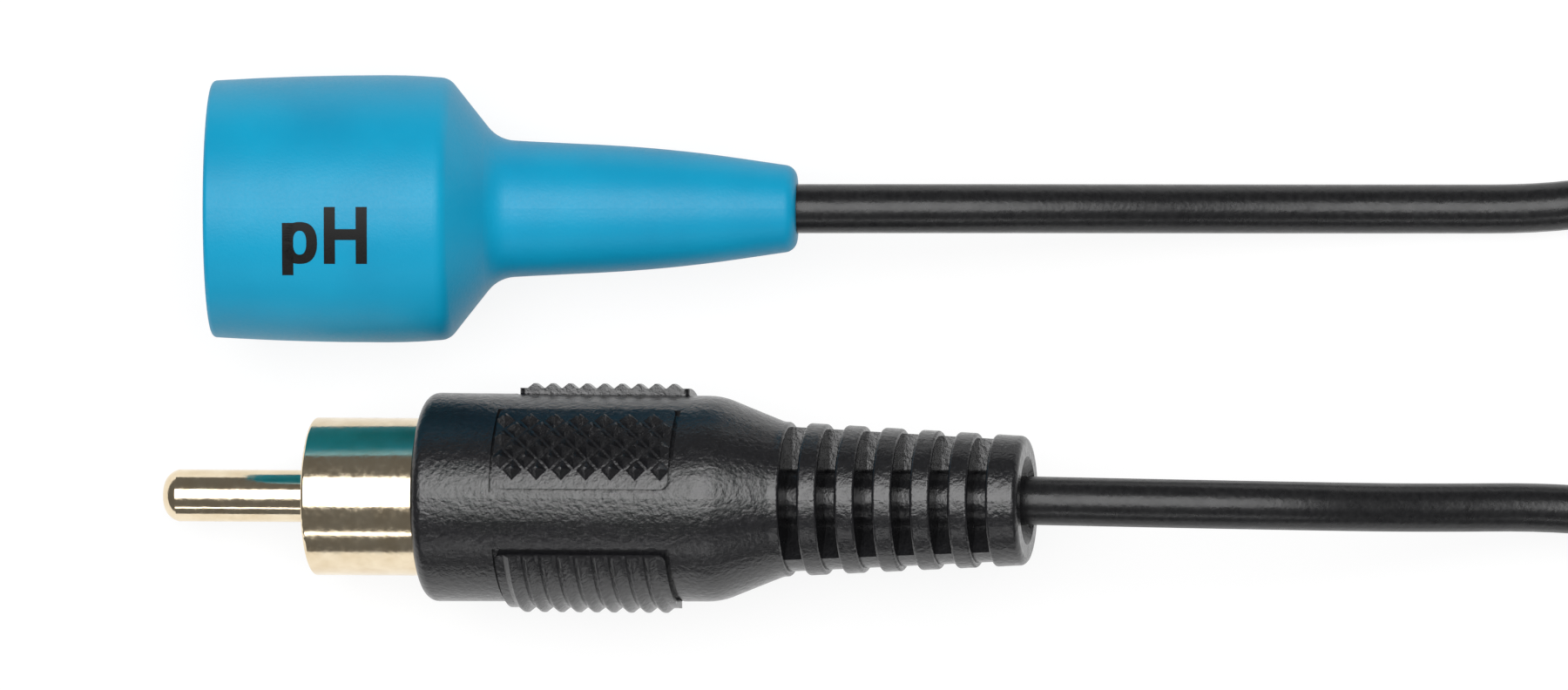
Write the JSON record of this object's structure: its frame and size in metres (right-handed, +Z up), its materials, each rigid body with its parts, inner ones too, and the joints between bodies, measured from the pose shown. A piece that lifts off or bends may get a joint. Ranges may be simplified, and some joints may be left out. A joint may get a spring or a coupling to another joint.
{
  "type": "ph electrode lead",
  "caption": "Coaxial lead for a pH electrode: a blue moulded hood with a socket on one end and a gold-plated phono plug with a black ribbed grip on the other.",
  "frame": {"origin": "on the surface that the lead lies on, under the middle of the hood", "axes": "+X along the hood from its mouth to its cable, +Z up, +Y across, away from the plug"},
  "size_m": [0.1418, 0.047, 0.0163],
  "materials": {
    "hood_blue": "soft moulded blue, satin",
    "grip_black": "spark-textured black moulding with a slight sheen",
    "cable_black": "semi-gloss black jacket",
    "gold": "thin pale gold plating, polished",
    "nickel": "bright nickel plating",
    "insulator_white": "white fluoropolymer, slightly waxy",
    "core_grey": "plain inner moulding",
    "dielectric_clear": "milky polyethylene",
    "copper": "bare copper",
    "tinned_braid": "tinned copper braid"
  },
  "bodies": {
    "root": {"hood": "hood_blue", "socket_body": "nickel", "socket_insulator": "insulator_white", "socket_contact": "gold", "hood_ferrule": "nickel", "hood_conductor": "copper", "hood_dielectric": "dielectric_clear", "hood_braid": "tinned_braid", "hood_jacket": "cable_black", "plug_shell": "grip_black", "plug_core": "core_grey", "ground_collar": "gold", "centre_pin": "gold", "pin_insulator": "insulator_white", "plug_ferrule": "nickel", "plug_conductor": "copper", "plug_dielectric": "dielectric_clear", "plug_braid": "tinned_braid", "plug_jacket": "cable_black", "cable_hood_side": "cable_black", "cable_coil": "cable_black", "cable_plug_side": "cable_black"}
  },
  "joints": []
}
